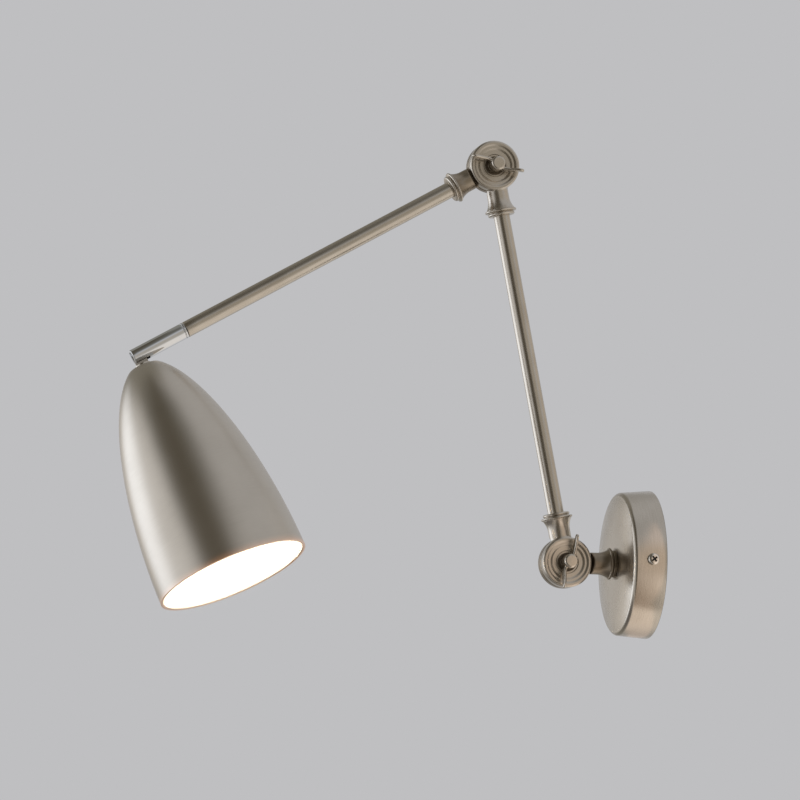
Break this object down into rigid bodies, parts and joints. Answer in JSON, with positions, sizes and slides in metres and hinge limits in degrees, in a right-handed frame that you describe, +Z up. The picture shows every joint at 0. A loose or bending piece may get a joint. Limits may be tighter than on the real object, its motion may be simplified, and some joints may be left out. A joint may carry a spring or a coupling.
{
  "type": "articulated wall lamp",
  "caption": "Swing arm wall lamp: round canopy, tube arms on wing nut knuckles, a swivel end and a tilting bullet shaped shade.",
  "frame": {"origin": "centre of the canopy's back rim, on the wall", "axes": "+Y into the wall, along the wall screws; +Z up; the wing nuts are on +X"},
  "size_m": [0.1547, 0.3997, 0.3682],
  "materials": {
    "satin_nickel": "satin nickel plate",
    "polished_chrome": "polished",
    "zinc_steel": "zinc plated",
    "plain_brass": "turned",
    "white_plastic": "moulded",
    "washer_plastic": "moulded",
    "black_rubber": "moulded",
    "cable_sheath": "extruded",
    "brown_wire": "extruded",
    "blue_wire": "extruded",
    "earth_wire": "extruded",
    "opal_glass": "opal"
  },
  "bodies": {
    "wall_mount": {"wall_bracket": "zinc_steel", "canopy": "satin_nickel", "canopy_screws": "satin_nickel", "earth_screw": "plain_brass", "wall_stub": "satin_nickel", "stub_nipple": "zinc_steel", "lock_washer": "zinc_steel", "nipple_nut": "plain_brass", "terminal_block": "white_plastic", "terminal_inserts": "plain_brass", "terminal_screws": "zinc_steel", "block_screw": "zinc_steel", "stub_cable": "cable_sheath", "live_wire": "brown_wire", "neutral_wire": "blue_wire", "earth_wire": "earth_wire", "lower_bolt": "satin_nickel", "lower_friction_ring": "black_rubber"},
    "lower_arm": {"lower_arm_base": "satin_nickel", "lower_arm_tube": "satin_nickel", "lower_arm_head": "satin_nickel", "lower_arm_cable": "cable_sheath"},
    "lower_washer": {"lower_clamp_washer": "satin_nickel"},
    "lower_nut": {"lower_wing_nut": "satin_nickel"},
    "upper_arm": {"upper_arm_base": "satin_nickel", "upper_arm_tube": "satin_nickel", "upper_arm_cable": "cable_sheath", "swivel_bush": "plain_brass", "upper_bolt": "satin_nickel", "upper_friction_ring": "black_rubber"},
    "upper_washer": {"upper_clamp_washer": "satin_nickel"},
    "upper_nut": {"upper_wing_nut": "satin_nickel"},
    "swivel": {"swivel_fork": "polished_chrome", "swivel_clip": "zinc_steel", "swivel_wires": "cable_sheath", "tilt_pin": "polished_chrome", "tilt_washers": "washer_plastic"},
    "head": {"shade_hinge": "satin_nickel", "shade": "satin_nickel", "shade_washer": "zinc_steel", "shade_nut": "plain_brass", "lamp_holder": "white_plastic", "holder_shell": "plain_brass", "holder_contact": "plain_brass", "bulb_cap": "zinc_steel", "bulb_contact": "zinc_steel", "bulb_glass": "opal_glass", "head_wires": "cable_sheath"}
  },
  "joints": [
    {"name": "lower_knuckle", "type": "hinge", "parent": "wall_mount", "child": "lower_arm", "pos_m": [0, -0.0635, 0], "axis": [-1, 0, 0], "range_deg": [-174, 16]},
    {"name": "upper_knuckle", "type": "hinge", "parent": "lower_arm", "child": "upper_arm", "pos_m": [0, -0.12074, 0.29449], "axis": [-1, 0, 0], "range_deg": [-16, 233]},
    {"name": "swivel_turn", "type": "hinge", "parent": "upper_arm", "child": "swivel", "pos_m": [0, -0.38454, 0.14341], "axis": [0, -0.8678, -0.497], "range_deg": [-174, 146]},
    {"name": "head_tilt", "type": "hinge", "parent": "swivel", "child": "head", "pos_m": [0, -0.38454, 0.14341], "axis": [0.9703, -0.1202, 0.2099], "range_deg": [-182, 17]},
    {"name": "lower_nut_travel", "type": "slide", "parent": "wall_mount", "child": "lower_washer", "axis": [1, 0, 0], "range_m": [0, 0.00081]},
    {"name": "lower_nut_turn", "type": "hinge", "parent": "lower_washer", "child": "lower_nut", "pos_m": [0, -0.0635, 0], "axis": [1, 0, 0], "range_deg": [0, 360]},
    {"name": "upper_nut_travel", "type": "slide", "parent": "upper_arm", "child": "upper_washer", "axis": [1, 0, 0], "range_m": [0, 0.00081]},
    {"name": "upper_nut_turn", "type": "hinge", "parent": "upper_washer", "child": "upper_nut", "pos_m": [0, -0.12074, 0.29449], "axis": [1, 0, 0], "range_deg": [0, 360]}
  ],
  "couplings": [
    {"joint": "lower_nut_travel", "follows": "lower_nut_turn", "m_per_rad": 0.00012732},
    {"joint": "upper_nut_travel", "follows": "upper_nut_turn", "m_per_rad": 0.00012732}
  ]
}
